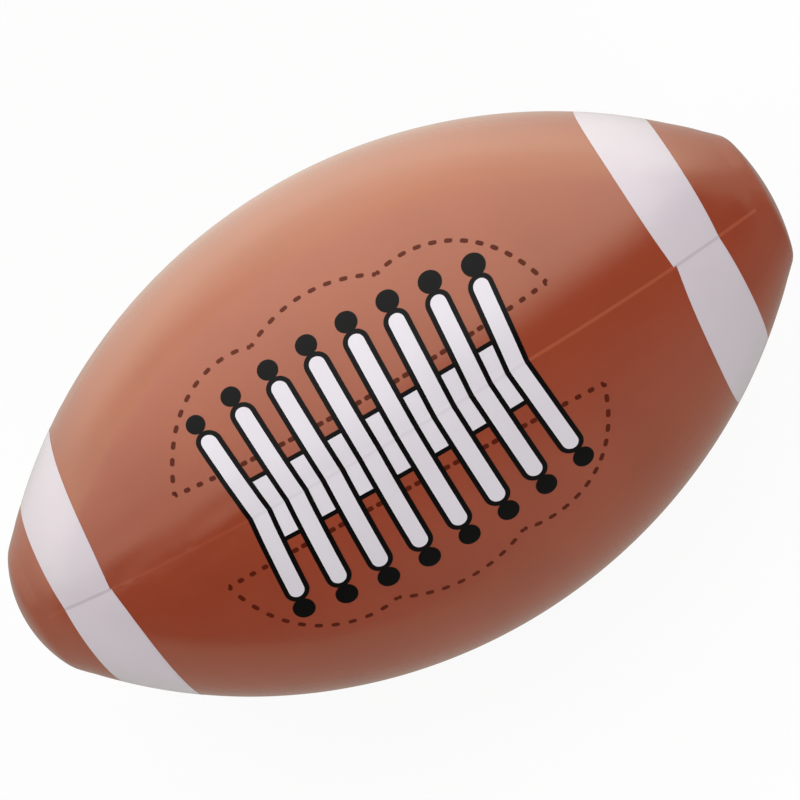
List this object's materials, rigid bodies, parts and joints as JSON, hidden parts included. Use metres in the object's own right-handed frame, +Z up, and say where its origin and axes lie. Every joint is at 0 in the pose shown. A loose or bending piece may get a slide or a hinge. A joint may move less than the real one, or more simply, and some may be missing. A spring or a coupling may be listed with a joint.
{
  "type": "inflatable football",
  "caption": "Pointed oval ball of welded glossy vinyl film, printed with stripes, laces and stitching, blown up through a push-in valve with a stopper.",
  "frame": {"origin": "centre of the ball", "axes": "+X along the ball's long axis, +Z up through the seam in the middle of the laces"},
  "size_m": [0.34, 0.198, 0.1984],
  "materials": {
    "brown_vinyl": "glossy soft vinyl film",
    "white_ink": "gloss ink on film",
    "black_ink": "gloss ink on film",
    "clear_vinyl": "milky clear moulded vinyl"
  },
  "bodies": {
    "skin": {"panel_upper_front": "brown_vinyl", "panel_upper_back": "brown_vinyl", "panel_lower_front": "brown_vinyl", "panel_lower_back": "brown_vinyl", "end_disc_left": "brown_vinyl", "end_disc_right": "brown_vinyl", "stripe_print_left": "white_ink", "stripe_print_right": "white_ink", "lace_print_white": "white_ink", "lace_print_black": "black_ink", "valve_flange": "clear_vinyl", "valve_skirt": "clear_vinyl"},
    "stem": {"valve_stem": "clear_vinyl", "stopper_strap": "clear_vinyl"},
    "stopper": {"valve_stopper": "clear_vinyl"},
    "flap": {"check_flap": "clear_vinyl"}
  },
  "joints": [
    {"name": "stem_slide", "type": "slide", "parent": "skin", "child": "stem", "axis": [0, -0.7071, -0.7071], "range_m": [0, 0.012], "deforming": ["valve_skirt"]},
    {"name": "stopper_hinge", "type": "hinge", "parent": "stem", "child": "stopper", "pos_m": [0.0067, -0.06848, -0.06848], "axis": [0, -0.7071, 0.7071], "range_deg": [0, 120], "deforming": ["stopper_strap"]},
    {"name": "flap_hinge", "type": "hinge", "parent": "stem", "child": "flap", "pos_m": [-0.0043, -0.05922, -0.05922], "axis": [0, -0.7071, 0.7071], "range_deg": [0, 60], "stiffness_Nm_per_rad": 0.00002, "springref_deg": -17.19}
  ]
}
